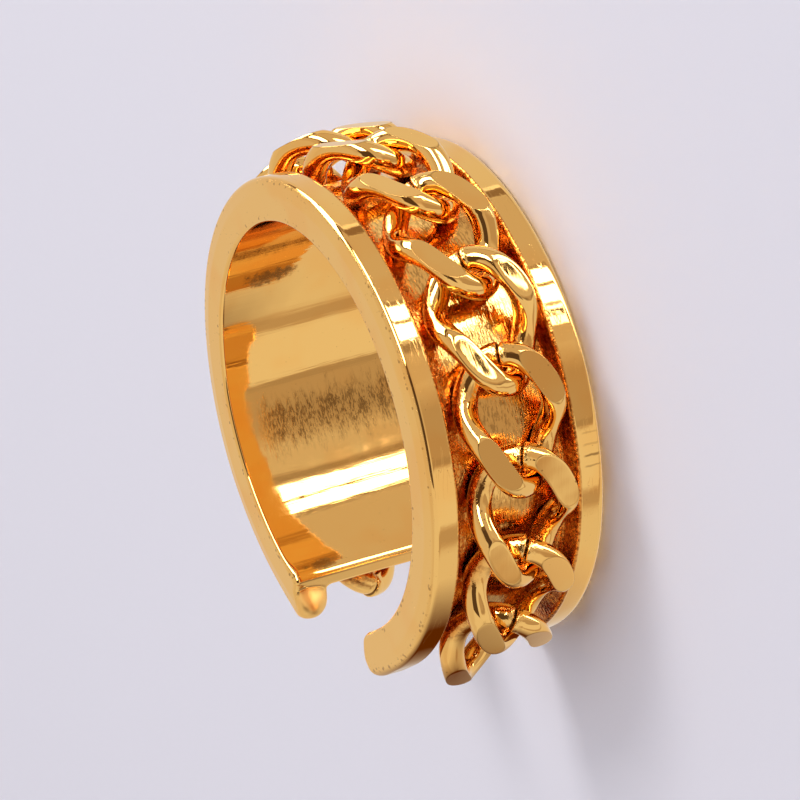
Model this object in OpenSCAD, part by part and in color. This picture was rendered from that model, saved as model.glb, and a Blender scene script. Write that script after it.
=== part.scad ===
// Chain link ring: an open band with a channel round its outside, and a curb chain of
// interlocked wire links that lies in the channel and stands a little proud of the rims.
// The ring lies on its side. The origin is the centre of the finger hole, half way along it,
// +Z runs along the hole's axis, and the opening of the band faces -Y.

/* [Band] */
// Inside diameter of the band
bore_d = 18.1; // [16:0.1:20]
// Width of the band along the finger
band_w = 8.3; // [8:0.1:9.6]
// Thickness of the wall under the chain
web_t = 0.95; // [0.8:0.05:1.4]
// Height of each rim above the floor of the channel
rim_h = 1; // [0.7:0.05:1.4]
// Width of each rim at its lip
rim_w = 1.35; // [1:0.05:1.5]
// Angle of the opening between the two ends of the band
gap_angle = 41; // [34:1:60]

/* [Edges of the band] */
// How far the bevel of each side face runs in from the rim
bevel_w = 0.75; // [0.3:0.05:1]
// How much that bevel drops
bevel_h = 0.12; // [0.05:0.01:0.25]
// Radius of the lips of the rims
lip_r = 0.12; // [0.05:0.01:0.25]
// Radius of the edges of the finger hole
bore_edge_r = 0.15; // [0.05:0.01:0.3]
// How much wider each rim is at its root than at its lip
rim_draft = 0.12; // [0:0.01:0.2]
// Radius of the corner between a rim and the floor of the channel
root_r = 0.2; // [0.1:0.01:0.3]
// Radius of the corners at the ends of the band, seen along the finger
end_r = 0.35; // [0.1:0.05:0.4]

/* [Chain] */
// Number of links
link_count = 14; // [13:1:15]
// Diameter of the round wire
wire_d = 1.09; // [0.95:0.01:1.15]
// Clearance between the chain and the rim on each side
side_gap = 0.34; // [0.25:0.01:0.5]
// How far the chain lies to one side of the middle of the channel
side_shift = -0.08; // [-0.15:0.01:0.15]
// Clearance between the links and the floor of the channel
floor_gap = 0.05; // [0.03:0.01:0.15]
// Free play of one link in the next, along the chain
end_play = 0.26; // [0.15:0.01:0.4]
// Height beyond the wire's own radius at which a leg passes over the next link
leg_lift = 0.135; // [0.1:0.005:0.2]
// Length over which a leg turns from its middle to its full twist
twist_run = 1.25; // [0.9:0.05:2]
// Fullness of a link's oval, from 2 for an ellipse to 3 for a rounded oblong
fullness = 2.12; // [2:0.02:2.6]
// How much of the crown of each leg is ground away to a flat outside
grind_out = 0.39; // [0.2:0.01:0.5]
// How much is ground away underneath, where the leg meets the floor
grind_in = 0.3; // [0.1:0.01:0.35]

/* [Lie of the chain] */
// Distance from the first end of the band to the first link
start_setback = 0.52; // [0.2:0.02:0.8]
// Distance from the last link to the other end of the band
end_setback = 0.12; // [0:0.02:0.8]
// Share by which the links bunch up towards the last one
bunch = 0.016; // [0:0.001:0.02]

/* [Hidden] */
link_names = [for (k = [1 : link_count]) str("link_", k < 10 ? "0" : "", k)];

// Radii and heights of the band
bore_r = bore_d / 2;
floor_r = bore_r + web_t;
rim_r = floor_r + rim_h;
face_z = -band_w / 2;
end_turn = gap_angle / 2;
opening_dir = -90;
cut_past = 1;
arc_steps = 4;
corner_fn = 48;
band_fn = 240;

// One link, in its own axes: x along the chain, y across it and z out from the finger
wire_r = wire_d / 2;
channel_w = band_w - 2 * rim_w;
link_half_w = channel_w / 2 - side_gap - wire_r;
link_sides = 16;
wire_sides = 6;
slope_step = 0.5;
search_step = 2;
axis_pull = 0.3;

// The chain's circle of link centres. Its radius leaves the ground underside just clear of
// the floor. The rise of a leg depends only a little on the pitch, so the pitch is worked
// out on a first guess of that circle and the rise follows from it.
guess_r = floor_r + wire_d;
pitch = chord_span(guess_r) / (link_count - 1);
link_half_l = (pitch + wire_d + end_play) / 2;
cross_at = pitch / 2;
twist = asin((wire_r + leg_lift) / oval_w(cross_at)) / twist_share(cross_at);
leg_rise = max([for (u = [0 : search_step : 90]) abs(centre_at(u).z)]);
crown_out = leg_rise + wire_r - grind_out;
crown_in = leg_rise + wire_r - grind_in;
centres_r = floor_r + floor_gap + crown_in;
first_turn = end_turn + half_link_turn(start_setback);
chain_turn = 360 - first_turn - end_turn - half_link_turn(end_setback);

// Length of the chain between its first and last link centres, on a circle of radius r
function chord_span(r) =
    ((360 - gap_angle) * PI / 180 * r - start_setback - end_setback - wire_d - end_play)
    * (link_count - 1) / link_count;

// Turn from an end of the band to the centre of the link nearest to it
function half_link_turn(setback) =
    (setback + link_half_l + wire_r) / centres_r * 180 / PI;

// Hyperbolic tangent: the twist runs quickly from one sign to the other, then holds
function tanh(x) = (exp(2 * x) - 1) / (exp(2 * x) + 1);

// Share of the full twist reached at a distance s from a link's middle
function twist_share(s) = tanh(s / twist_run) / tanh(link_half_l / twist_run);

// A power that keeps the sign of its base
function signed_pow(v, e) = sign(v) * pow(abs(v), e);

// Half width of the flat oval at a distance s from the link's middle
function oval_w(s) = link_half_w * pow(1 - pow(abs(s) / link_half_l, fullness), 1 / fullness);

// Point of the wire's centre line at the angle u: an oval, twisted along its length so that
// one leg rises and the other sinks towards each end
function centre_at(u) =
    let (s = link_half_l * signed_pow(cos(u), 2 / fullness),
         w = link_half_w * signed_pow(sin(u), 2 / fullness),
         turn = -twist * twist_share(s))
    [s, w * cos(turn), w * sin(turn)];

function unit(v) = v / norm(v);

// Direction of the wire at the angle u, from points a small step to either side
function wire_dir(u) = unit(centre_at(u + slope_step) - centre_at(u - slope_step));

// Direction square to the wire that points away from the link's middle, more across the
// link than along it, so that the wire's section turns evenly round the ends
function wire_side(u) =
    let (p = centre_at(u), t = wire_dir(u), o = [p.x * axis_pull, p.y, p.z])
    unit(o - (o * t) * t);

// The ground flats hold each height between the underside and the outside
function ground(p) = [p.x, p.y, max(-crown_in, min(crown_out, p.z))];

// Point of the wire's surface at the angle u round the link and v round the wire
function surface_at(u, v) =
    let (side = wire_side(u), up = cross(wire_dir(u), side))
    ground(centre_at(u) + wire_r * (cos(v) * side + sin(v) * up));

// Turn of link k round the band, counted from the middle of the opening
function link_turn(k) =
    let (t = k / (link_count - 1)) first_turn + chain_turn * (t + bunch * (t - t * t * t));

// Points on an arc about c, from angle a to angle b
function arc(c, r, a, b) =
    [for (i = [0 : arc_steps]) let (t = a + (b - a) * i / arc_steps) c + r * [cos(t), sin(t)]];

// Half of the band's section, from the finger hole round the lower rim to the channel floor:
// x is the distance from the axis, y the height
half_section = concat(
    arc([bore_r + bore_edge_r, face_z + bore_edge_r], bore_edge_r, 180, 270),
    [[rim_r - bevel_w, face_z]],
    arc([rim_r - lip_r, face_z + bevel_h + lip_r], lip_r, 270, 360),
    arc([rim_r - lip_r, face_z + rim_w - lip_r], lip_r, 0, 90),
    arc([floor_r + root_r, face_z + rim_w + rim_draft + root_r], root_r, 270, 180)
);
other_half = [for (i = [len(half_section) - 1 : -1 : 0])
    [half_section[i].x, -half_section[i].y]];

// Space cut away at one end of the band, drawn with that end along the x axis and the metal
// above it: what lies outside a circle that touches the end and a wall of the band
module corner_cut(wall_r, centre_r) {
    centre_x = sqrt(centre_r * centre_r - end_r * end_r);
    touch_y = wall_r * end_r / centre_r;
    near_x = wall_r < centre_r ? wall_r - cut_past : centre_x;
    far_x = wall_r < centre_r ? centre_x : wall_r + cut_past;
    difference() {
        translate([near_x, -cut_past]) square([far_x - near_x, touch_y + cut_past]);
        translate([centre_x, end_r]) circle(r = end_r, $fn = corner_fn);
    }
}

// Wedge of the opening, with the rounded corners of both ends
module opening() {
    reach = 2 * rim_r;
    translate([0, 0, face_z - cut_past]) linear_extrude(height = band_w + 2 * cut_past) {
        polygon([[0, 0],
            reach * [cos(opening_dir - end_turn), sin(opening_dir - end_turn)],
            reach * [cos(opening_dir + end_turn), sin(opening_dir + end_turn)]]);
        for (flip = [0, 1]) rotate(opening_dir) mirror([0, flip]) rotate(end_turn) {
            corner_cut(bore_r, bore_r + end_r);
            corner_cut(rim_r, rim_r - end_r);
        }
    }
}

// Open band with its two rims and the channel between them
module band() color("#dcae6c") difference() {
    rotate_extrude($fn = band_fn) polygon(concat(half_section, other_half));
    opening();
}

// One link, lying in the channel at its place in the chain
module link(k) color("#e2b673") {
    points = [for (i = [0 : link_sides - 1]) for (j = [0 : wire_sides - 1])
        let (p = surface_at(i * 360 / link_sides, (j + 0.5) * 360 / wire_sides))
        [centres_r + p.z, p.x, p.y]];
    faces = [for (i = [0 : link_sides - 1]) for (j = [0 : wire_sides - 1])
        let (i2 = (i + 1) % link_sides, j2 = (j + 1) % wire_sides)
        each [[i * wire_sides + j, i2 * wire_sides + j, i2 * wire_sides + j2],
              [i * wire_sides + j, i2 * wire_sides + j2, i * wire_sides + j2]]];
    translate([0, 0, side_shift]) rotate(opening_dir + link_turn(k))
        polyhedron(points, faces);
}

band();
for (k = [0 : link_count - 1]) link(k);
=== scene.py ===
# %% [markdown]
# The object is an open finger ring of gold-plated brass. A band with a channel round its
# outside carries a curb chain: short links of round wire, each twisted so that its two legs
# lean the same way, and ground flat on the outside. This script dresses the packed solids:
# it replaces the band and each link by a smooth surface of the same sizes, gives them a
# polished gold finish, and lights them on a pale table.

# %% Load the frame
from functools import reduce

import bmesh
import bpy
import numpy as np
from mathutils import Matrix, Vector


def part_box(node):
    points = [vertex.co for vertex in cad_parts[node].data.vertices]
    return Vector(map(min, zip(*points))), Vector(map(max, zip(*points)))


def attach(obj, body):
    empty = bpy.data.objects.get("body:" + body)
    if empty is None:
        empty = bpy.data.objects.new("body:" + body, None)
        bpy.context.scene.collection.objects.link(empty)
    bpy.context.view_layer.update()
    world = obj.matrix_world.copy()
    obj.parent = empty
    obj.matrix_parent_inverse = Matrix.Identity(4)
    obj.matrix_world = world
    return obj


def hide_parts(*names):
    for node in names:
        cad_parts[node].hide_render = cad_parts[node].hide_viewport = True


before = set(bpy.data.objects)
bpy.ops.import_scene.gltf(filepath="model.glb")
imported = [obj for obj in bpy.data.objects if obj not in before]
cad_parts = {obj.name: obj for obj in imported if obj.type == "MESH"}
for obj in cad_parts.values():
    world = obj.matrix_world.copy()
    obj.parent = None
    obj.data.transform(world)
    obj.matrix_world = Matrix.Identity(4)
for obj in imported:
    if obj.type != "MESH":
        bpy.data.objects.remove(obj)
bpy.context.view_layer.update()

print("nodes:", sorted(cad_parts))

# %% [markdown]
# Sizes are in millimetres, as in the part's source, and are turned into metres only when a
# mesh is made. The width and the outer radius of the band are read from the packed solids,
# so that the dressed ring can't drift away from them. The rest repeats the source's sizes.

# %% Sizes
MM = 0.001
band_low, band_high = (np.array(c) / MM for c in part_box("band"))
BAND_W = band_high[2] - band_low[2]
RIM_R = band_high[0]
FACE_Z = BAND_W / 2
BORE_R = 9.05
FLOOR_R = 10.0
RIM_W = 1.35
BEVEL_W = 0.75
BEVEL_H = 0.12
OPENING = np.radians(41.0)
LINKS = sum(name.startswith("link_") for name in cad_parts)
print(f"band {BAND_W:.2f} wide, rims {RIM_R:.2f} in radius, {LINKS} links")

# %% [markdown]
# The camera stands where the photo's camera stood, seen from the ring. Its place was found
# from the outlines of the rims and the bore: a long lens, 23 degrees above the plane of the
# near side face, and rolled, because the photo shows the ring upright while here it lies on
# its side. The roll keeps the picture the same and makes the table fill all of it.

# %% Camera
CAMERA_TURN = np.radians(25.75)
CAMERA_RISE = np.radians(23.1376)
CAMERA_ROLL = np.radians(105.1193)
CAMERA_AWAY = 299.10
PICTURE = 800.0
FOCAL_PIXELS = 6934.9
CENTRE_X, CENTRE_Y = 399.49, 404.52
SENSOR = 36.0
NEAREST, FARTHEST = 10.0, 20000.0


def add_object(name, data):
    """An object in the scene that holds data: a mesh, a light or a camera."""
    made = bpy.data.objects.new(name, data)
    bpy.context.scene.collection.objects.link(made)
    return made


def level_axes(turn, rise):
    """back points from the ring to a turn round it and a rise above the table: (cos rise
    cos turn, cos rise sin turn, sin rise). right is level and square to it."""
    back = np.array([np.cos(rise) * np.cos(turn), np.cos(rise) * np.sin(turn), np.sin(rise)])
    return back, np.array([-np.sin(turn), np.cos(turn), 0.0])


def aim(made, right, up, back, away):
    """Stands an object away mm from the ring along back, so that it faces the ring. Blender
    takes the matrix column by column."""
    matrix = np.eye(4)
    matrix[:3, :3] = np.stack([right, up, back], axis=1)
    matrix[:3, 3] = back * away * MM
    made.matrix_world = matrix.T.tolist()


def add_camera():
    """right and down are the level axes of the picture. Across and up are the same two,
    turned by the roll about the line of sight."""
    back, right = level_axes(CAMERA_TURN, CAMERA_RISE)
    down = np.cross(right, back)
    across = np.cos(CAMERA_ROLL) * right + np.sin(CAMERA_ROLL) * down
    up = np.sin(CAMERA_ROLL) * right - np.cos(CAMERA_ROLL) * down
    data = bpy.data.cameras.new("camera")
    data.sensor_width = SENSOR
    data.lens = FOCAL_PIXELS * SENSOR / PICTURE
    data.shift_x = (PICTURE / 2 - CENTRE_X) / PICTURE
    data.shift_y = (CENTRE_Y - PICTURE / 2) / PICTURE
    data.clip_start, data.clip_end = NEAREST * MM, FARTHEST * MM
    camera = add_object("camera", data)
    aim(camera, across, up, back, CAMERA_AWAY)
    bpy.context.scene.camera = camera
    return camera


camera = add_camera()
print(f"lens {camera.data.lens:.1f} mm, {CAMERA_AWAY:.0f} mm away")

# %% [markdown]
# Every piece is a grid of points worked out with numpy. Two helpers turn grids into meshes:
# one gives the four-cornered faces of a grid, which may close on itself in either direction,
# and one welds grids that share an edge and points all faces outwards.

# %% Faces of a grid
def grid_faces(rows, columns, closed_rows=False, closed_columns=False):
    """Corner numbers of the faces of a grid whose points are numbered row by row from zero.
    A closed direction joins its last line to its first."""
    i, j = np.meshgrid(np.arange(rows if closed_rows else rows - 1),
                       np.arange(columns if closed_columns else columns - 1), indexing="ij")
    i2, j2 = (i + 1) % rows, (j + 1) % columns
    corners = [i * columns + j, i2 * columns + j, i2 * columns + j2, i * columns + j2]
    return np.stack(corners, axis=-1).reshape(-1, 4)


print("a grid of 4 by 3 points has", len(grid_faces(4, 3)), "faces, and closed in both",
      "directions", len(grid_faces(4, 3, closed_rows=True, closed_columns=True)))

# %% [markdown]
# A mesh with a gap or a face that looks inwards renders badly and has no true volume. So the
# parts of a piece are welded where their edges meet, the faces are turned outwards, and the
# volume of what results is measured: a wrong volume gives a bad seam away.

# %% Meshes from grids
WELD = 1e-5


def make_piece(name, parts, material, marks=None):
    """One mesh object from parts, a list of (points in mm, faces numbered from zero). marks
    names numbers to store on the points for the material to read."""
    points = np.concatenate([p.reshape(-1, 3) for p, _ in parts]) * MM
    starts = np.cumsum([0] + [p.size // 3 for p, _ in parts[:-1]])
    faces = np.concatenate([f + s for (_, f), s in zip(parts, starts)])
    mesh = bpy.data.meshes.new(name)
    mesh.from_pydata(points, [], faces)
    for mark, values in (marks or {}).items():
        layer = mesh.attributes.new(mark, "FLOAT", "POINT")
        layer.data.foreach_set("value", np.ascontiguousarray(values, dtype=float).ravel())
    work = bmesh.new()
    work.from_mesh(mesh)
    bmesh.ops.remove_doubles(work, verts=work.verts, dist=WELD * MM)
    bmesh.ops.recalc_face_normals(work, faces=work.faces)
    if work.calc_volume(signed=True) < 0:
        bmesh.ops.reverse_faces(work, faces=work.faces)
    work.to_mesh(mesh)
    volume = work.calc_volume() / MM ** 3
    work.free()
    mesh.polygons.foreach_set("use_smooth", np.ones(len(mesh.polygons), dtype=bool))
    mesh.materials.append(material)
    return add_object(name, mesh), volume


print(f"points closer than {WELD} mm are welded")

# %% [markdown]
# Shader maths reads better as Python expressions. A small class wraps a node's output and
# overloads the operators, so that 1 - mask adds the Math node it needs. Any other node comes
# from one method, which takes the node's type, its settings and what goes into its sockets.

# %% Values in a material
class Value:
    """A socket that carries one number, a colour or a vector."""

    def __init__(self, shader, socket):
        self.shader, self.socket = shader, socket

    def maths(self, operation, *inputs, clamp=False):
        """A Math node of one or two inputs."""
        values = dict(enumerate(inputs))
        return self.shader.node("ShaderNodeMath", values, operation=operation, use_clamp=clamp)

    def __add__(self, other):
        return self.maths("ADD", self, other)

    def __sub__(self, other):
        return self.maths("SUBTRACT", self, other)

    def __rsub__(self, other):
        return self.maths("SUBTRACT", other, self)

    def __mul__(self, other):
        return self.maths("MULTIPLY", self, other)

    def __truediv__(self, other):
        return self.maths("DIVIDE", self, other)

    def __pow__(self, other):
        return self.maths("POWER", self, other)

    __radd__, __rmul__ = __add__, __mul__

    def clamped(self):
        return self.maths("ADD", self, 0.0, clamp=True)

    def maximum(self, other):
        return self.maths("MAXIMUM", self, other)

    def absolute(self):
        return self.maths("ABSOLUTE", self)

    def between(self, low, high, soft):
        """1 where the value lies between low and high, fading over soft to either side."""
        return self.step(low - soft, low) * self.step(high + soft, high)

    def step(self, low, high):
        """0 below low, 1 above high, and smooth between. It falls where high is lower."""
        values = {"Value": self, "From Min": low, "From Max": high}
        return self.shader.node("ShaderNodeMapRange", values, interpolation_type="SMOOTHSTEP")


def most(*values):
    """The highest of several values."""
    return reduce(Value.maximum, values)


print("a value knows", ", ".join(n for n in vars(Value) if not n.startswith("_")))

# %% [markdown]
# A material is a tree of nodes, and every node in it is made in the same way: choose its
# type, set it up, then fill its sockets with values or with links. One method does that, and
# short ones on top of it name the patterns that the gold needs.

# %% Materials
class Shader:
    """A material and its nodes."""

    def __init__(self, name):
        self.material = bpy.data.materials.new(name)
        self.material.use_nodes = True
        self.tree = self.material.node_tree
        self.surface = self.tree.nodes["Principled BSDF"]

    def put(self, socket, value):
        """Links a value to a socket, or sets the socket to a plain number or colour."""
        if isinstance(value, Value):
            self.tree.links.new(value.socket, socket)
        else:
            socket.default_value = value

    def node(self, kind, inputs=None, output=0, **settings):
        """Makes a node, sets it up, fills its sockets and gives one of its outputs."""
        made = self.tree.nodes.new(kind)
        for name, setting in settings.items():
            setattr(made, name, setting)
        for name, value in (inputs or {}).items():
            self.put(made.inputs[name], value)
        return Value(self, made.outputs[output])

    def place(self):
        """Object coordinates in millimetres."""
        metres = self.node("ShaderNodeTexCoord", output="Object")
        return self.node("ShaderNodeVectorMath", {0: metres, "Scale": 1 / MM},
                         operation="SCALE")

    def axes(self, vector):
        """The three parts of a vector."""
        made = self.node("ShaderNodeSeparateXYZ", {0: vector})
        return [Value(self, made.socket.node.outputs[n]) for n in range(3)]

    def attribute(self, name):
        """A number stored on the mesh's points."""
        return self.node("ShaderNodeAttribute", output="Fac", attribute_name=name)

    def stretch(self, vector, x, y, z):
        """A vector with each of its parts multiplied."""
        return self.node("ShaderNodeVectorMath", {0: vector, 1: (x, y, z)},
                         operation="MULTIPLY")

    def noise(self, vector, scale, detail=2.0, rough=0.5, distort=0.0):
        """A soft random pattern about the value 0.5."""
        values = {"Vector": vector, "Scale": scale, "Detail": detail, "Roughness": rough,
                  "Distortion": distort}
        return self.node("ShaderNodeTexNoise", values)

    def streaks(self, vector, x, y, z, detail, rough=0.5):
        """A noise drawn out along the axes that are multiplied by little."""
        return self.noise(self.stretch(vector, x, y, z), 1.0, detail, rough)

    def mix(self, share, first, second):
        """A colour between two colours."""
        values = {0: share, 6: first, 7: second}
        return self.node("ShaderNodeMix", values, output=2, data_type="RGBA")

    def set(self, **values):
        """Puts values on the surface's sockets, named with _ for a space."""
        for name, value in values.items():
            self.put(self.surface.inputs[name.replace("_", " ")], value)

    def bump(self, height):
        """Relief from a height in millimetres."""
        values = {"Strength": 1.0, "Distance": MM, "Height": height}
        return self.node("ShaderNodeBump", values)


print("patterns and helpers:", ", ".join(n for n in vars(Shader) if not n.startswith("_")))

# %% [markdown]
# Plated gold is a mirror with a warm tint. Its looks come from what it mirrors, so the finish
# itself needs only small things: a tone that drifts, a roughness that isn't even, hair-fine
# scratches, and shallow ripples that make mirrored edges waver. Where the polishing wheel
# didn't reach, down in the channel and low on the links, the metal is rougher with a dark
# grain, and its colour is painted darker and more orange: partly unpolished metal, partly
# painted shade.

# %% Gold
GOLD = (0.95, 0.56, 0.17, 1.0)
GOLD_RED = (0.95, 0.52, 0.145, 1.0)
# The deep colour and its grain are unpolished metal and also painted shade: they darken the
# corners of the channel and the lower parts of the links.
GOLD_DULL_SHADED = (0.80, 0.32, 0.06, 1.0)
GOLD_SHADED_GRAIN = (0.40, 0.11, 0.015, 1.0)
# The dark colour below is for pits, stains and marks, and also for a painted dark reflection
# over a patch in the bore.
GRIME_AND_DARK_REFLECTION = (0.25, 0.12, 0.03, 1.0)
EDGE_TINT = (1.0, 0.95, 0.88, 1.0)
POLISHED, SMEARED, SCRATCHED, SANDED, BRUSHED = 0.015, 0.055, 0.08, 0.2, 0.3
SAND_DEPTH, RIPPLE_DEPTH, SCRATCH_DEPTH = 0.035, 0.006, 0.0015
FACING = 5.0, 6.0


def towards(x, y, turn):
    """How far a point lies along the direction at a turn in degrees: x cos turn + y sin turn.
    At a turn of 90 degrees more, this is how far it lies to the left of that direction. The
    side of the bore that the direction meets begins where this passes through FACING."""
    turn = np.radians(turn)
    return x * np.cos(turn) + y * np.sin(turn)


def hairlines(shader, vector, scale, width):
    """Thin lines where a noise passes through its middle value: 1 on a line, 0 off it."""
    drift = shader.noise(vector, scale, detail=1.0, distort=0.4)
    return (drift - 0.5).absolute().step(width, 0.0)


def stain(shader, place, turn, height, along, up):
    """1 in a ragged oval stain in the bore, at a turn in degrees and a height. along and up
    are its half lengths round the bore and up it, all three in millimetres."""
    x, y, z = shader.axes(place)
    aside = towards(x, y, turn + 90) / along
    rise = (z - height) / up
    ragged = shader.noise(place, 3.0, detail=3.0, rough=0.6)
    away = aside * aside + rise * rise + 3.0 * (ragged - 0.5)
    return away.step(1.1, 0.1) * towards(x, y, turn).step(*FACING)


def gold_finish(shader, place, dull_and_shaded, grime, height_mm, scratch=0.0, satin=0.0):
    """Joins the parts of the finish. dull is 1 where the metal is unpolished, and there its
    colour is also painted shade, darker and redder; grime is 1 in a pit, on a stain or mark,
    or on a painted dark reflection; height_mm is the relief made for the piece, scratch is 1
    on a scratch, and satin is 1 where the metal was only brushed. The roughness is POLISHED,
    plus a part for each of these."""
    tone = shader.noise(place, 0.35, detail=2.0).step(0.45, 0.65)
    colour = shader.mix(tone, GOLD, GOLD_RED)
    grain = shader.noise(place, 4.5, detail=3.0, rough=0.6).step(0.46, 0.6)
    colour = shader.mix(dull_and_shaded, colour, shader.mix(grain, GOLD_DULL_SHADED, GOLD_SHADED_GRAIN))
    colour = shader.mix(grime, colour, GRIME_AND_DARK_REFLECTION)
    smear = shader.noise(place, 1.7, detail=3.0)
    rough = (POLISHED + SMEARED * smear + SCRATCHED * scratch + SANDED * dull_and_shaded
             + SANDED * grime + BRUSHED * satin)
    sanded = shader.noise(place, 6.5, detail=2.0) * dull_and_shaded * SAND_DEPTH
    ripple = shader.noise(place, 0.8, detail=1.0) * RIPPLE_DEPTH
    height = height_mm + sanded + ripple - SCRATCH_DEPTH * scratch
    shader.set(Base_Color=colour, Metallic=1.0, Roughness=rough.clamped(),
               Specular_Tint=EDGE_TINT, Normal=shader.bump(height))
    return shader.material


# The unpolished colour and its grain also stand for painted shade in the recesses.
print("gold", GOLD, "unpolished", GOLD_DULL_SHADED, "its grain", GOLD_SHADED_GRAIN, "grime", GRIME_AND_DARK_REFLECTION)

# %% [markdown]
# The band is one piece of metal with many finishes. Its faces and rims are polished, and the
# floor of the channel along its middle only: towards the walls it is unpolished, and its
# colour is painted darker and more orange there as shade. The bore has a patch of painted dark
# reflection, crossed by darker scratch strokes, and two stains, short marks cross the lower
# rim, and dark pits line the creases of the side faces. Each place is found from the distance
# to the ring's axis, the height and the way round, so no map has to be painted.

# %% Finish of the band
# The patch at this turn in the bore is a painted dark reflection, crossed by scratch strokes.
PATCH_TURN = 200.5
LOWER_TURN = -60.0
STAINS = [(0.8, -114.2, 2.6, 0.3, 0.9), (0.9, 155.8, 1.9, 0.5, 1.4)]
RIM_MARKS = {8.9: 0.25, 6.2: 0.3, 3.7: 0.8, 1.2: 0.5}
RIM_MARKS_Z = -3.55
# Between these heights the floor of the channel turns unpolished and painted darker as shade
# towards the walls.
POLISHED_UNSHADED_Z, DULL_SHADED_Z = 1.7, 2.4
WALL_Z = FACE_Z - RIM_W
CREASE_IN = 0.22
BORE_DEPTH, FLOOR_DEPTH, PATCH_DEPTH, FACE_DEPTH = 0.003, 0.014, 0.006, 0.0012


def rim_marks(shader, place):
    """Short marks across the lower rim, where it was knocked: lines up its wall at the turns
    of RIM_MARKS in degrees, each with its depth of tone, that waver with a noise. They keep
    to the side of the ring that faces +X."""
    x, y, z = shader.axes(place)
    wander = 0.25 * (shader.noise(place, 1.5, detail=2.0) - 0.5)
    marks = 0.0
    for turn, depth in RIM_MARKS.items():
        aside = towards(x, y, turn + 90) + wander
        marks = marks + depth * aside.absolute().step(0.08, 0.01)
    return marks * (z - RIM_MARKS_Z).absolute().step(0.45, 0.25) * x.step(9.0, 9.5)


def band_finish():
    """The band's places are told apart by the distance from the axis, the height and the
    distance from the cut ends: |x| cos h + y sin h, where h is half the opening."""
    shader = Shader("band_gold")
    place = shader.place()
    x, y, z = shader.axes(place)
    radius = (x * x + y * y) ** 0.5
    height = z.absolute()
    from_end = towards(x.absolute(), y, np.degrees(OPENING / 2))
    in_channel = (radius.step(FLOOR_R - 0.08, FLOOR_R - 0.03)
                  * height.step(WALL_Z + 0.18, WALL_Z + 0.1) * from_end.step(0.3, 1.0))
    # Unpolished metal near and up the channel's walls; its colour there is also painted shade,
    # darker and more orange in the corners.
    dull_and_shaded = in_channel * most(height.step(POLISHED_UNSHADED_Z, DULL_SHADED_Z),
                             radius.step(FLOOR_R + 0.1, FLOOR_R + 0.25))
    in_bore = radius.step(BORE_R + 0.2, BORE_R + 0.05)
    ring_streaks = shader.streaks(place, 2.0, 2.0, 12.0, detail=2.0)
    bore_streaks = shader.streaks(place, 5.0, 5.0, 0.3, detail=3.0)
    aside = towards(x, y, PATCH_TURN + 90)
    ragged = shader.streaks(place, 0.9, 0.9, 3.5, detail=4.0) - 0.5
    patch = (in_bore * towards(x, y, PATCH_TURN).step(*FACING) * z.step(3.1, 2.2)
             * (aside + 2.2 * ragged).between(-0.1, 0.7, 1.1))
    strokes = shader.streaks(place, 4.6, 4.6, 15.0, detail=4.0, rough=0.6)
    clumps = shader.streaks(place, 1.2, 1.2, 3.0, detail=2.0) - 0.5
    # Over the patch the colour is darkened as a painted dark reflection, with darker strokes.
    scuff_and_dark_reflection = patch * (0.2 + (strokes + 0.5 * clumps).step(0.43, 0.6) * 0.68)
    stains = most(*(tone * stain(shader, place, *at) for tone, *at in STAINS)) * in_bore
    floor = in_channel * (1 - dull_and_shaded)
    spots = shader.node("ShaderNodeTexVoronoi", {"Vector": place, "Scale": 4.0})
    crease = (most((radius - (BORE_R + CREASE_IN)).absolute().step(0.14, 0.03),
                   (radius - (RIM_R - CREASE_IN)).absolute().step(0.16, 0.03))
              * height.step(FACE_Z - 0.25, FACE_Z - 0.15))
    worn = crease * shader.noise(place, 0.5).step(0.42, 0.5)
    lower = towards(x, y, LOWER_TURN).step(6.5, 9.0)
    pits = (spots - 0.14 * lower).step(0.34, 0.2) * worn
    stray = spots.step(0.1, 0.05) * shader.noise(place, 0.6, detail=1.0).step(0.5, 0.6)
    lines = hairlines(shader, shader.stretch(place, 0.35, 0.35, 2.4), 1.2, 0.008)
    scratch = lines * (1 - in_bore) * shader.noise(place, 0.5).step(0.45, 0.6)
    fine = shader.noise(place, 3.6, detail=2.0)
    relief = (BORE_DEPTH * bore_streaks * in_bore + FLOOR_DEPTH * ring_streaks * floor
              + PATCH_DEPTH * strokes * patch + FACE_DEPTH * fine * (1 - in_bore))
    specks = shader.streaks(place, 2.6, 2.6, 9.0, detail=4.0, rough=0.7)
    knocks = rim_marks(shader, place) * radius.step(RIM_R - 0.1, RIM_R - 0.05)
    # Dark colour for pits, stains, specks and knocks, and for the painted dark reflection over
    # the patch.
    grime = most(0.6 * pits, scuff_and_dark_reflection, 0.7 * stray, stains,
                 0.5 * floor * specks.step(0.48, 0.6), knocks)
    end_face = from_end.step(0.05, -0.1)
    lip = ((radius - (RIM_R - 0.06)).absolute().step(0.12, 0.04)
           * height.step(FACE_Z - 0.23, FACE_Z - 0.15))
    brushed = shader.noise(place, 1.3, detail=2.0).step(0.35, 0.6)
    satin = most(end_face, 0.8 * lip * brushed)
    return gold_finish(shader, place, dull_and_shaded, grime, relief, scratch, satin)


band_gold = band_finish()
print(f"{band_gold.name}: {len(band_gold.node_tree.nodes)} nodes")

# %% [markdown]
# The links were tumbled and then ground, so only what a wheel could touch is polished
# bright. Lower down they stay grainy, and their colour is painted darker there as shade. A
# thin dark line is drawn where a flat meets the round wire; that line and the joint of the
# wire follow the link's own shape, so their strength is stored on its points.

# %% Finish of the links
# Below the first radius a link is unpolished and its colour is painted shade; above the second
# it is polished bright.
DULL_SHADED_BELOW, POLISHED_UNSHADED_ABOVE = 10.5, 11.1
GROUND_DEPTH, CRUMB_DEPTH = 0.0012, 0.07


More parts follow.
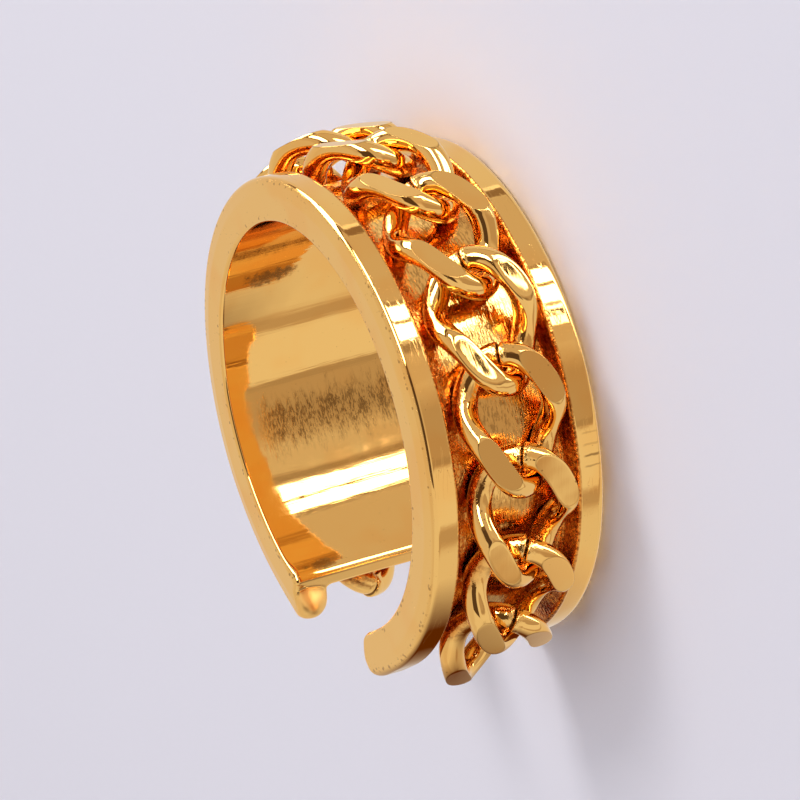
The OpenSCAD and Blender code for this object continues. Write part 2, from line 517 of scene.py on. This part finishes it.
def link_finish():
    """A link is polished on its outer half, where the wheel reached, and grainy below, where
    its colour is also painted shade. The attribute edge is 1 along the outline of the ground
    flat, drawn as a thin dark line, and seam is 1 at the joint of the wire's two ends."""
    shader = Shader("link_gold")
    place = shader.place()
    x, y, _ = shader.axes(place)
    radius = (x * x + y * y) ** 0.5
    wander = shader.noise(place, 1.1, detail=2.0) - 0.5
    # Lower on a link the metal is unpolished, and its colour is painted darker there as shade.
    dull_and_shaded = (radius + 0.5 * wander).step(POLISHED_UNSHADED_ABOVE, DULL_SHADED_BELOW)
    edge = shader.attribute("edge")
    seam = shader.attribute("seam")
    crumbs = shader.streaks(place, 3.0, 3.0, 5.0, detail=3.0)
    ground = shader.streaks(place, 0.8, 0.8, 9.0, detail=2.0)
    spots = shader.node("ShaderNodeTexVoronoi", {"Vector": place, "Scale": 2.0})
    pits = spots.step(0.12, 0.07) * shader.noise(place, 0.7).step(0.55, 0.62)
    grime = most(0.8 * pits, 0.75 * edge, seam.step(0.8, 1.0))
    relief = GROUND_DEPTH * ground + CRUMB_DEPTH * crumbs * seam.step(0.0, 0.5)
    return gold_finish(shader, place, dull_and_shaded, grime, relief)


link_gold = link_finish()
print(f"{link_gold.name}: {len(link_gold.node_tree.nodes)} nodes")

# %% [markdown]
# Cut across, the band is a wide U: a thin wall under the chain and a rim on either side. In
# the real ring it was rolled as a strip, and polishing rounded its corners. A section drawn
# as straight runs and arcs, then carried round the finger, gives just that, and bunching the
# points near the arcs keeps the long runs flat under smooth shading.

# %% Section of the band
ARC_STEPS = 8
EDGE_R = 0.3
LIP_R = 0.18
BORE_EDGE_R = 0.17
ROOT_R = 0.25
DRAFT = 0.12
BEVEL_EASE = 1.0
WALL_HOLD = 0.1
RUNS = [4, 5, 14, 24, 14, 5, 4]
STRAIGHT = 1e-6


def unit(vectors):
    """Each vector divided by its length."""
    return vectors / np.linalg.norm(vectors, axis=-1, keepdims=True)


def bunched(share):
    """Even shares from 0 to 1 drawn towards both ends: half of 1 - cos(pi share)."""
    return 0.5 - 0.5 * np.cos(np.pi * share)


def rounded_path(corners, runs):
    """Points along straight runs with rounded corners. corners holds rows of (r, z, radius):
    a corner's arc touches both runs at radius * tan(half its turn) from the corner. A corner
    that doesn't turn spreads its points over its radius to either side. runs gives how many
    points lie on each run between two arcs, bunched towards the arcs to hold them."""
    corners = np.array(corners)
    place, radius = corners[:, :2], corners[:, 2]
    way = unit(np.diff(place, axis=0))
    pieces = [place[:1]]
    for n in range(1, len(corners) - 1):
        into, out = way[n - 1], way[n]
        turn = np.arccos(np.clip(into @ out, -1, 1))
        if turn < STRAIGHT:
            share = np.linspace(-1, 1, ARC_STEPS + 1)[:, None]
            pieces.append(place[n] + share * radius[n] * into)
            continue
        side = unit(out - (out @ into) * into)
        angle = np.linspace(0, turn, ARC_STEPS + 1)[:, None]
        start = place[n] - into * radius[n] * np.tan(turn / 2)
        pieces.append(start + radius[n] * (np.sin(angle) * into + (1 - np.cos(angle)) * side))
    pieces.append(place[-1:])
    path = [pieces[0]]
    for before, after, count in zip(pieces, pieces[1:], runs):
        share = bunched(np.arange(1, count + 1) / (count + 1))
        path += [before[-1] + share[:, None] * (after[0] - before[-1]), after]
    return np.concatenate(path)


def mirrored(rows):
    """rows, then the same rows below the middle of the band in reverse order."""
    return rows + [(r, -z, radius) for r, z, radius in rows[::-1]]


def closed_section(edge_r, lip_r, bore_edge_r, rim_r=RIM_R, rim_w=RIM_W):
    """The band's section as one closed loop: the shell side from the top of a rim over the
    side face and the bore to the other rim, then back along the channel. edge_r rounds the
    rims outside, lip_r where they face the channel, and bore_edge_r the finger hole."""
    lip_z = FACE_Z - rim_w
    top_z = (FACE_Z - BEVEL_H + lip_z) / 2
    shell = mirrored([(rim_r, top_z, 0), (rim_r, FACE_Z - BEVEL_H, edge_r),
                      (RIM_R - BEVEL_W, FACE_Z, BEVEL_EASE), (BORE_R, FACE_Z, bore_edge_r)])
    channel = mirrored([(rim_r, top_z, 0), (rim_r, lip_z, lip_r),
                        ((rim_r + FLOOR_R) / 2, lip_z - DRAFT / 2, WALL_HOLD),
                        (FLOOR_R, lip_z - DRAFT, ROOT_R)])
    shell_side, channel_side = rounded_path(shell, RUNS), rounded_path(channel, RUNS)
    return np.concatenate([shell_side, channel_side[-2:0:-1]])


section = closed_section(EDGE_R, LIP_R, BORE_EDGE_R)
SHELL_POINTS = len(section) // 2 + 1
print(f"{len(section)} points round the band's section")

# %% [markdown]
# The strip was cut and its two ends filed, each a little differently: the rims end in small
# rounded noses, fuller on one side of the opening than on the other. The ends are worked out
# as a setback, how far the metal draws back from the cut at each radius and height, because
# the same function then shapes the last rings of the sweep and the cap that closes them.

# %% Ends of the band
END_EDGE_R = 0.24
END_EDGE_STEPS = 9
END_CORNERS = 0.36
LEFT_CORNERS = 0.5
RIGHT_END = {"bore_r": 0.5, "rim_r": 0.5, "top": 11.1, "bulge": 0.52, "centre": (10.4, 3.5),
             "spread": (1.4, 2.5),
             "section": closed_section(END_CORNERS, END_CORNERS, END_CORNERS, 11.1, 1.4)}
LEFT_END = {"bore_r": 0.3, "rim_r": 0.4, "top": 11.2, "bulge": 0.88, "centre": (10.6, 3.5),
            "spread": (0.95, 1.25),
            "section": closed_section(LEFT_CORNERS, LEFT_CORNERS, END_CORNERS, 11.2, 1.55)}
END_BLEND = 1.1
BLEND_STEPS = 10
BAND_STATIONS = 300
CAP_STEPS = 14


def corner_setback(radius, height, end):
    """How far an end of the band draws back at a radius and a height: a quarter circle at the
    bore and another at the rim, r - sqrt(r^2 - s^2) where a point is s short of its radius r,
    less a bulge b (1 - d^2)^1.5 over each rim, where d is the distance from the bulge's
    centre as a share of its spread."""
    def round_off(depth, size):
        short = np.clip(size - depth, 0, size)
        return size - np.sqrt(size ** 2 - short ** 2)
    away = (((radius - end["centre"][0]) / end["spread"][0]) ** 2
            + ((np.abs(height) - end["centre"][1]) / end["spread"][1]) ** 2)
    return (round_off(radius - BORE_R, end["bore_r"])
            + round_off(end["top"] - radius, end["rim_r"])
            - end["bulge"] * np.clip(1 - away, 0, 1) ** 1.5)


nose = corner_setback(np.array([10.4, 10.6]), np.array([3.5, 3.5]), LEFT_END)
print("the fuller nose stands proud by", np.round(-nose, 2), "mm")

# %% [markdown]
# A strip bent by hand round a mandrel is never quite true, and a mirror shows it: the lines
# in its reflections sway. A few slow sine waves are enough for that, and the whole band is
# then a sweep of the section from one end to the other. Each wave has its size, its number
# of crests round the ring, its slant across the band and its start.

# %% Sweep of the band
RADIUS_WAVES = [(0.008, 3, 0.35, 0.5), (0.004, 8, -0.7, 1.3), (0.0012, 19, 0.5, 0.0)]
HEIGHT_WAVES = [(0.010, 2, 0.5, 0.0), (0.004, 7, 1.9, 0.6)]


def outward(loop):
    """Unit normals of a closed section that runs anticlockwise in (r, z): the direction
    along it, turned a quarter turn to the right."""
    along = np.roll(loop, -1, axis=0) - np.roll(loop, 1, axis=0)
    return unit(np.stack([along[:, 1], -along[:, 0]], axis=1))


def waved(turn, radius, height):
    """Hand polishing leaves the faces about a hundredth of a millimetre out of true. Waves
    push the radius about, and others the height: size sin(crests turn + slant across +
    start), where across is the height, or the radius for the waves of the height."""
    def swell(waves, across):
        return sum(size * np.sin(crests * turn + slant * across + start)
                   for size, crests, slant, start in waves)
    radius = radius + swell(RADIUS_WAVES, height)
    return radius, height + swell(HEIGHT_WAVES, radius)


def band_points(turn, radius, height):
    """Points at a turn from the middle of the opening, which faces -Y, with the waves added:
    (r cos a, r sin a, height), where a is the turn less a quarter turn."""
    radius, height = waved(turn, radius, height)
    angle = turn - np.pi / 2
    return np.stack([radius * np.cos(angle), radius * np.sin(angle), height], axis=-1)


def half_band(end):
    """Rings from one end of the band to its middle. The end's edge is a quarter circle: a
    ring inset by END_EDGE_R * (1 - cos a) lies END_EDGE_R * (1 - sin a) from the end. The
    next millimetre blends from a section with rounder corners to the band's own by the ease
    s s (3 - 2 s) of its share s."""
    end_section = end["section"]
    normal = outward(end_section)
    rings, turns = [], []
    for a in np.linspace(np.pi / 2, 0, END_EDGE_STEPS + 1):
        ring = end_section - normal * END_EDGE_R * (1 - np.cos(a))
        away = corner_setback(ring[:, 0], ring[:, 1], end) + END_EDGE_R * (1 - np.sin(a))
        rings.append(ring)
        turns.append(OPENING / 2 + away / ring[:, 0])
    last = turns[-1]
    for share in np.linspace(0, 1, BLEND_STEPS + 1)[1:]:
        ease = share * share * (3 - 2 * share)
        rings.append(end_section * (1 - ease) + section * ease)
        turns.append(last + share * (END_BLEND / RIM_R + (last.max() - last) * ease))
    for share in np.linspace(0, 1, BAND_STATIONS // 2 + 1)[1:]:
        rings.append(section)
        turns.append(turns[END_EDGE_STEPS + BLEND_STEPS] * (1 - share) + np.pi * share)
    return np.array(rings), np.array(turns)


def band_parts():
    """Both halves of the sweep, and a cap over each end, which runs from the shell side of
    the section to the channel side."""
    right, right_turns = half_band(RIGHT_END)
    left, left_turns = half_band(LEFT_END)
    rings = np.concatenate([right, left[-2::-1]])
    turns = np.concatenate([right_turns, 2 * np.pi - left_turns[-2::-1]])
    sweep = band_points(turns, rings[..., 0], rings[..., 1])
    parts = [(sweep, grid_faces(*sweep.shape[:2], closed_columns=True))]
    share = bunched(np.linspace(0, 1, CAP_STEPS + 1))
    for end, ring in ((RIGHT_END, right[0]), (LEFT_END, left[0])):
        outer = ring[:SHELL_POINTS]
        inner = np.concatenate([ring[:1], ring[:SHELL_POINTS - 1:-1], outer[-1:]])
        cap = outer[:, None] * (1 - share[:, None]) + inner[:, None] * share[:, None]
        turn = OPENING / 2 + corner_setback(cap[..., 0], cap[..., 1], end) / cap[..., 0]
        if end is LEFT_END:
            turn = 2 * np.pi - turn
        points = band_points(turn, cap[..., 0], cap[..., 1])
        parts.append((points, grid_faces(*points.shape[:2])))
    return parts


band, band_volume = make_piece("gold_band", band_parts(), band_gold)
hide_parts("band")
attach(band, "root")
print(f"band: {len(band.data.polygons)} faces, {band_volume:.1f} cubic millimetres")

# %% [markdown]
# A link is a piece of round wire bent to an oval and twisted, so that one leg rises over the
# next link while the other dives under it. Only the centre line needs a formula: a full oval
# turned about its long axis. The wire's two ends meet at a tip, and the grid is crowded
# there, because that joint shows as a fine groove.

# %% Centre line of a link
WIRE_R = 0.545
HALF_L = 2.8
HALF_W = 1.92
FULLNESS = 2.12
TWIST = np.radians(32.5)
TWIST_RUN = 1.25
CENTRES_R = 11.07
GROUND_OUT = 0.93
GROUND_IN = 1.02
FIRST_TURN = np.radians(40.45)
PITCH = np.radians(21.95)
BUNCH = np.radians(4.5)
SIDE_SHIFT = -0.08
LINK_SECTIONS = 200
FINE_STEPS = 6000
EDGE_SOFT = 0.02
CROWN = 0.01
SEAM_CROWD = 0.86
CENTRE_STEP = 1e-3


def signed_power(value, power):
    """A power of the value's size, with the value's sign."""
    return np.sign(value) * np.abs(value) ** power


def centre_line(u):
    """The wire's centre line: a full oval, s = a cos(u)^(2/n) and w = b sin(u)^(2/n) with
    the signs kept, turned about its long axis by an angle that follows tanh(s), so that one
    leg rises while the other sinks."""
    s = HALF_L * signed_power(np.cos(u), 2 / FULLNESS)
    w = HALF_W * signed_power(np.sin(u), 2 / FULLNESS)
    turn = -TWIST * np.tanh(s / TWIST_RUN) / np.tanh(HALF_L / TWIST_RUN)
    return np.stack([s, w * np.cos(turn), w * np.sin(turn)], axis=-1)


def crowded_stations():
    """Angles round the centre line from the wire's joint at the front tip back to it, how far
    each is from the joint along the wire, and 1 or -1 for its half of the wire. Their steps
    shrink near the joint: a share t of them lies at t - c sin(2 pi t) / (2 pi) of the way."""
    u = np.linspace(0, 2 * np.pi, FINE_STEPS + 1)
    steps = np.linalg.norm(np.diff(centre_line(u), axis=0), axis=1)
    run = np.concatenate([[0], np.cumsum(steps)])
    t = (np.arange(LINK_SECTIONS) + 0.5) / LINK_SECTIONS
    at = run[-1] * (t - SEAM_CROWD * np.sin(2 * np.pi * t) / (2 * np.pi))
    return np.interp(at, run, u), np.minimum(at, run[-1] - at), np.sign(run[-1] / 2 - at)


_, from_joint, _ = crowded_stations()
print(f"sections are {2 * from_joint.min():.3f} mm apart at the joint and",
      f"{np.abs(np.diff(from_joint)).max():.3f} mm at most")

# %% [markdown]
# The chain was ground as a whole once its links were closed, so every leg has a flat outside
# and another underneath. A boolean cut would leave a ragged edge in the mesh. Here the grid
# itself follows the edge of the flat, since the angle at which the wire passes the grinding
# plane is known, and the points above the plane are then let down on to it.

# %% Surface of a link
FLAT_STEPS, WALL_STEPS = 8, 12
SEAM_W = 0.045
SEAM_DEPTH = 0.30
SEAM_SIDE = 0.07
SEAM_RUN = 0.5
SEAM_LINE, SEAM_RIM, SEAM_ROUGH = 0.035, 0.3, 0.7
EDGE_LINE = 0.012
WIRE_WAVES = [(0.012, 3), (0.008, 7)]
WAVE_STARTS = 90


def soft_ceiling(height, limit, soft=EDGE_SOFT):
    """The lower of height and limit, with the corner between them eased: their mix by a
    share s, less soft s (1 - s)."""
    share = np.clip(0.5 + 0.5 * (limit - height) / soft, 0, 1)
    return height * share + limit * (1 - share) - soft * share * (1 - share)


def peak(distance, width):
    """1 at no distance, falling as exp(-(distance / width)^2)."""
    return np.exp(-(distance / width) ** 2)


def link_surface(lean, ground_out, tip_side, warp, soft):
    """Surface of one link: a circle round the centre line, measured from the direction in it
    that points outwards, with a groove where the wire's two ends meet. Where the circle
    passes a ground plane, grid lines follow the edge of the flat, at the angle whose cosine
    is the plane's height over the circle's. lean tips the outer plane, warp twists it from
    one leg to the other, and soft eases the flat's edge. The wire's ends part by a hair
    along tip_side, and its thickness swells a little along it."""
    u, away, half = crowded_stations()
    centre = centre_line(u)
    along = unit(centre_line(u + CENTRE_STEP) - centre_line(u - CENTRE_STEP))
    lift = np.sqrt(1 - along[:, 2:] ** 2)
    up = (np.array([0, 0, 1.0]) - along[:, 2:] * along) / lift
    side = np.cross(along, up)
    plane = (ground_out + centre[:, 0] * lean[0] + centre[:, 1] * lean[1]
             + warp * centre[:, 0] * centre[:, 1])
    swell = sum(size * np.sin(count * u + start)
                for (size, count), start in zip(WIRE_WAVES, WAVE_STARTS * lean))
    wire = WIRE_R * (1 - SEAM_DEPTH * peak(away, SEAM_W)) * (1 + swell)
    offset = SEAM_SIDE * half * np.exp(-away / SEAM_RUN)
    centre = centre + (tip_side[0] * side + tip_side[1] * up) * offset[:, None]
    reach = wire * lift[:, 0]
    top = np.arccos(np.clip((plane - centre[:, 2]) / reach, -1, 1))
    under = np.arccos(np.clip((GROUND_IN + centre[:, 2]) / reach, -1, 1))
    flat, wall = (bunched(np.arange(n) / n) for n in (FLAT_STEPS, WALL_STEPS))
    v = np.concatenate([
        top[:, None] * (2 * flat - 1),
        top[:, None] + (np.pi - under - top)[:, None] * wall,
        np.pi - under[:, None] + 2 * under[:, None] * flat,
        np.pi + under[:, None] + (np.pi - under - top)[:, None] * wall], axis=1)[..., None]
    points = centre[:, None] + wire[:, None, None] * (
        np.cos(v) * up[:, None] + np.sin(v) * side[:, None])
    plane = plane[:, None] - CROWN * (wire[:, None] * np.sin(v[..., 0])) ** 2
    above = points[..., 2] - plane
    seam = (peak(away, SEAM_LINE) + SEAM_ROUGH * peak(away, SEAM_RIM))[:, None]
    points[..., 2] = soft_ceiling(above, 0.0, soft) + plane
    points[..., 2] = -soft_ceiling(-points[..., 2], GROUND_IN)
    return points, {"edge": peak(above, EDGE_LINE),
                    "seam": np.broadcast_to(seam, above.shape)}


def place_link(points, turn, tilt, slide):
    """Carries a link from its own axes, x along the chain, y across it and z outwards, to
    its place round the band: turned by tilt about z, set on the circle of link centres at
    the turn, and slid up the band's axis, along which its y then runs."""
    x, y, z = points[..., 0], points[..., 1], points[..., 2]
    x, y = x * np.cos(tilt) - y * np.sin(tilt), x * np.sin(tilt) + y * np.cos(tilt)
    angle = turn - np.pi / 2
    radius = CENTRES_R + z
    return np.stack([radius * np.cos(angle) - x * np.sin(angle),
                     radius * np.sin(angle) + x * np.cos(angle),
                     y + SIDE_SHIFT + slide], axis=-1)


sample = link_surface(np.zeros(2), GROUND_OUT, (0.0, 0.0), 0.0, EDGE_SOFT)[0]
print("a link measures", np.round(np.ptp(sample, axis=(0, 1)), 2), "mm")

# %% [markdown]
# Fourteen links hang in one another round the channel, bunched up a little towards one end.
# No two are quite alike: a seeded random draw leans, turns, slides and grinds each by a hair.
# Two that show their flats plainly in the photo are tipped to catch the light as there:
# TIPPED, WARPED and EASED hold the slopes of a flat, its twist and the softness of its edge,
# by the link's number counted from zero.

# %% Chain
LEANS, TILTS, SLIDES = 0.025, 0.8, 0.02
DEPTHS = -0.015, 0.02
TIPPED = {2: (-0.065, 0.0), 4: (0.082, 0.056)}
WARPED = {4: -0.035}
EASED = {4: 0.1}
luck = np.random.RandomState(11)
chain_volume = 0.0
for k in range(LINKS):
    share = k / (LINKS - 1)
    turn = FIRST_TURN + PITCH * k - BUNCH * share ** 3
    lean = luck.uniform(-LEANS, LEANS, 2) + TIPPED.get(k, (0.0, 0.0))
    depth = GROUND_OUT + luck.uniform(*DEPTHS)
    bend = luck.uniform(0, 2 * np.pi)
    points, marks = link_surface(lean, depth, (np.cos(bend), np.sin(bend)),
                                 WARPED.get(k, 0.0), EASED.get(k, EDGE_SOFT))
    tilt, slide = np.radians(luck.uniform(-TILTS, TILTS)), luck.uniform(-SLIDES, SLIDES)
    points = place_link(points, turn, tilt, slide)
    faces = grid_faces(*points.shape[:2], closed_rows=True, closed_columns=True)
    link, volume = make_piece(f"gold_link_{k + 1:02d}", [(points, faces)], link_gold, marks)
    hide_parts(f"link_{k + 1:02d}")
    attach(link, "root")
    chain_volume += volume
print(f"chain: {LINKS} links, {len(link.data.polygons)} faces each, "
      f"{chain_volume:.1f} cubic millimetres")

# %% [markdown]
# The ring lies on a plain pale table. It is one flat grid, far wider than the picture, with a
# dull finish, so that nothing on it draws the eye from the ring.

# %% Table
TABLE_PAINT = (0.645, 0.625, 0.68, 1.0)
TABLE_HALF = 4000
TABLE_LINES = 9


def add_sheet(name, points, material, **closed):
    """A grid of points in mm as one surface of the scene round the ring."""
    mesh = bpy.data.meshes.new(name)
    mesh.from_pydata(points.reshape(-1, 3) * MM, [], grid_faces(*points.shape[:2], **closed))
    mesh.materials.append(material)
    return add_object(name, mesh)


def add_table():
    """A level square of table far wider than the picture."""
    side = np.linspace(-TABLE_HALF, TABLE_HALF, TABLE_LINES)
    x, y = np.meshgrid(side, side, indexing="ij")
    points = np.stack([x, y, np.full_like(x, -FACE_Z)], axis=-1)
    shader = Shader("table_paint")
    shader.set(Base_Color=TABLE_PAINT, Roughness=0.6, Specular_IOR_Level=0.2)
    table = add_sheet("table", points, shader.material)
    return table


table = add_table()
print(f"table top at {-FACE_Z:.2f} mm")

# %% [markdown]
# Two soft boxes and a faint even glow light the table, and the boxes cast the ring's soft
# shadow. The gold doesn't mirror the boxes: what it mirrors is painted separately, so that the
# light on the table and the streaks on the metal can each be set without the other changing.

# %% Light
ROOM_LIGHT = (0.93, 0.92, 1.0, 1.0)
ROOM_STRENGTH = 0.45


def softbox(name, turn, rise, away, width, height, strength):
    """A soft rectangular light that faces the ring from a turn round it and a rise above
    the table, both in degrees. strength is its brightness as a share of white: its power is
    strength times pi times its area."""
    back, right = level_axes(*np.radians([turn, rise]))
    data = bpy.data.lights.new(name, "AREA")
    data.shape = "RECTANGLE"
    data.size, data.size_y = width * MM, height * MM
    data.energy = strength * np.pi * width * height * MM ** 2
    light = add_object(name, data)
    aim(light, right, np.cross(back, right), back, away)
    light.visible_camera = light.visible_glossy = False
    return light


lights = [softbox("overhead", turn=60, rise=84, away=420, width=420, height=420, strength=1.7),
          softbox("window", turn=118, rise=44, away=420, width=120, height=170, strength=12)]
world = bpy.data.worlds.new("room")
bpy.context.scene.world = world
world.use_nodes = True
sky = world.node_tree.nodes["Background"].inputs
sky["Color"].default_value = ROOM_LIGHT
sky["Strength"].default_value = ROOM_STRENGTH
print("power in watts:", {light.name: round(light.data.energy, 3) for light in lights})

# %% [markdown]
# Polished gold has hardly a look of its own. A product photographer stands white and dark
# cards round it until its curves show. The same is done here with a ball of panels: upright
# ones all round, which the rims and the bore mirror as bands, and a ceiling with windows and
# dark frames, which the round wire draws out into thin streaks. Below the horizon hangs one
# white panel with dark strips across it, which the flat of the fifth link mirrors.
#
# A row of WALLS is an upright panel: the two turns between which it stands, its brightness,
# and how softly it starts and ends. A row of CEILING has two turns, two rises, a brightness
# and one softness. Turns, rises and softness are in degrees.

# %% Panels of the room
ROOM_R = 1000.0
PALE = 0.8
WALLS = [(-42, -37, 0.54, 5.0, 4.0), (-33, -8, 0.86, 2.0, 2.0),
         (-5, -2, 0.45, 2.0, 0.8), (-2, 20, 0.52, 0.8, 16.0), (34, 47, 0.70, 2.0, 1.0),
         (47.5, 50.5, 0.42, 2.0, 0.6), (53.2, 60.2, 9.0, 0.6, 0.3),
         (60.5, 62.1, 0.4, 0.3, 0.3), (62.4, 68.6, 9.0, 0.3, 0.6),
         (69.6, 71.2, 0.45, 0.5, 0.5), (72, 110, 0.67, 1.0, 1.0),
         (111.5, 115.5, 0.3, 1.0, 0.6), (116.2, 117.8, 1.3, 0.4, 0.8)]
WALL_TOP, WALL_FADE = 0.0, 4.0
CEILING = [(-180, 180, 2, 90, 0.74, 6.0), (-75, 4, 0, 50, 0.84, 8.0),
           (12, 108, -4, 60, 0.66, 6.0), (150, 240, 4, 50, 0.78, 8.0),
           (-14, 41, 16, 50, 0.1, 1.5), (112, 155, 4, 50, 0.18, 1.5),
           (39, 108, 18, 43, 0.18, 1.5), (42, 51, -30.6, -24.3, 6.0, 0.3),
           (46.3, 48.6, -26.1, -25, 0.05, 0.25), (45.1, 47, -26.9, -25.5, 0.05, 0.25),
           (44.1, 45.8, -27.9, -26.2, 0.05, 0.25), (43.3, 44.6, -28.8, -27.1, 0.05, 0.25),
           (48.2, 49.4, -25.4, -24.4, 0.05, 0.25), (118, 149, 8, 45, 11.0, 1.0),
           (44, 103, 23, 37, 11.0, 1.0), (132, 133, 8, 45, 0.3, 0.4),
           (118, 149, 27, 28.4, 0.3, 0.4), (81, 82, 23, 37, 0.3, 0.4)]
WARM_BELOW, WARM_FADE, WARM_LOSS = 0.82, 0.25, (0.0, 0.16, 0.28)
DEEP_BELOW, DEEP_FADE, DEEP_LOSS = 0.45, 0.2, (0.0, 0.14, 0.2)


def inside(value, low, high, soft_low, soft_high):
    """1 between low and high, falling to 0 over soft_low below and soft_high above."""
    return (np.clip(1 - (low - value) / soft_low, 0, 1)
            * np.clip(1 - (value - high) / soft_high, 0, 1))


def inside_turn(turn, low, high, soft_low, soft_high):
    """The same for a turn in degrees."""
    off, half = (turn - (low + high) / 2 + 180) % 360 - 180, (high - low) / 2
    return inside(off, -half, half, soft_low, soft_high)


def panel_glow(turn, rise):
    """Brightness of the room towards a turn and a rise in degrees. Each panel hides the
    ones before it by its share: glow (1 - share) + level share. Upright panels stand all
    round, and above them hang a ceiling, a dark screen and a window with its bars."""
    panels = [(inside_turn(turn, low, high, soft_low, soft_high)
               * np.clip(1 - (rise - WALL_TOP) / WALL_FADE, 0, 1), level)
              for low, high, level, soft_low, soft_high in WALLS]
    panels += [(inside_turn(turn, low, high, soft, soft)
                * inside(rise, under, over, soft, soft), level)
               for low, high, under, over, level, soft in CEILING]
    glow = np.full(np.broadcast(turn, rise).shape, PALE)
    for share, level in panels:
        glow = glow * (1 - share) + level * share
    return glow


def panel_colour(glow):
    """The darker a panel, the warmer its paint: it gives back less green and blue, and less
    again where it is very dark."""
    warm = np.clip((WARM_BELOW - glow) / WARM_FADE, 0, 1)[..., None]
    deep = np.clip((DEEP_BELOW - glow) / DEEP_FADE, 0, 1)[..., None]
    paint = 1 - warm * np.array(WARM_LOSS) - deep * np.array(DEEP_LOSS)
    return np.concatenate([glow[..., None] * paint, np.ones_like(warm)], axis=-1)


print("tones of the panels every 30 degrees:",
      np.round(panel_glow(np.arange(-180, 180, 30), -np.degrees(CAMERA_RISE)), 2))

# %% [markdown]
# The panels are the points' colours of two meshes: the ball, far away, and one card close to
# the opening, which darkens the lower end of the rims but not the bore. Only mirrored rays
# see them. The table is hidden from those rays in turn, so that the ball shows below it.

# %% Room and card
CARD_PAINT = (0.11, 0.03, 0.0, 1.0)
CARD_Y = -14.0
CARD_X, CARD_Z = (5.0, 8.0, 8.0, 8.0), (-0.5, 2.5, 7.5, 5.0)
CARD_COLUMNS, CARD_ROWS = np.linspace(-4, 17, 43), np.linspace(-15, 8, 47)
BALL_TURNS = [(-46, 152, 0.25), (152, 314, 3.0)]
BALL_RISES = [(-31, -24, 0.25), (-24, -4, 4.0), (-4, 26, 1.0), (26, 30, 0.5), (30, 54, 1.0)]
BALL_FOOT, BALL_HEAD = np.linspace(-89.9, -33, 6), np.linspace(55, 89.9, 8)


def add_glow(name, points, colour, cover, **closed):
    """A glowing surface seen only by mirrored rays, so it lights nothing. It hides what is
    behind it by the share that cover gives."""
    shader = Shader(name + "_paint")
    paint = shader.node("ShaderNodeAttribute", output="Color", attribute_name="glow")
    emission = shader.node("ShaderNodeEmission", {"Color": paint})
    clear = shader.node("ShaderNodeBsdfTransparent")
    mixed = shader.node("ShaderNodeMixShader", {0: shader.attribute("cover"), 1: clear,
                                                2: emission})
    shader.put(shader.tree.nodes["Material Output"].inputs["Surface"], mixed)
    shader.material.cycles.emission_sampling = "NONE"
    made = add_sheet(name, points, shader.material, **closed)
    layer = made.data.attributes.new("glow", "FLOAT_COLOR", "POINT")
    layer.data.foreach_set("color", colour.ravel())
    layer = made.data.attributes.new("cover", "FLOAT", "POINT")
    layer.data.foreach_set("value", cover.ravel())
    for kind in ("camera", "diffuse", "shadow", "transmission", "volume_scatter"):
        setattr(made, "visible_" + kind, False)
    return made


def add_card():
    """An upright card beside the opening. It is thick over a patch and thins out to nothing
    round it. CARD_X and CARD_Z hold where the patch starts and ends, and over what length
    the card thins out on either side."""
    x, z = np.meshgrid(CARD_COLUMNS, CARD_ROWS, indexing="ij")
    points = np.stack([x, np.full_like(x, CARD_Y), z], axis=-1)
    colour = np.broadcast_to(CARD_PAINT, x.shape + (4,))
    return add_glow("card", points, colour, inside(x, *CARD_X) * inside(z, *CARD_Z))


def add_room():
    """A ball of panels round the scene, R (cos rise cos turn, cos rise sin turn, sin rise),
    in steps of a quarter of a degree where narrow panels stand and wider ones elsewhere."""
    turn = np.concatenate([np.arange(*steps) for steps in BALL_TURNS])[:, None]
    rise = np.concatenate([BALL_FOOT, *(np.arange(*steps) for steps in BALL_RISES),
                           BALL_HEAD])[None]
    t, r = np.radians(turn), np.radians(rise)
    points = ROOM_R * np.stack([np.cos(r) * np.cos(t), np.cos(r) * np.sin(t),
                                np.sin(r) + 0 * t], axis=-1)
    glow = panel_glow(turn, rise)
    return add_glow("room", points, panel_colour(glow), np.ones_like(glow), closed_rows=True)


room = add_room()
card = add_card()
table.visible_glossy = False
bpy.context.scene.view_settings.view_transform = "Standard"
print(f"{len(room.data.vertices)} points on the ball, {len(card.data.vertices)} on the card")

# %% [markdown] The dressed ring takes its width and outer radius from the packed solids.
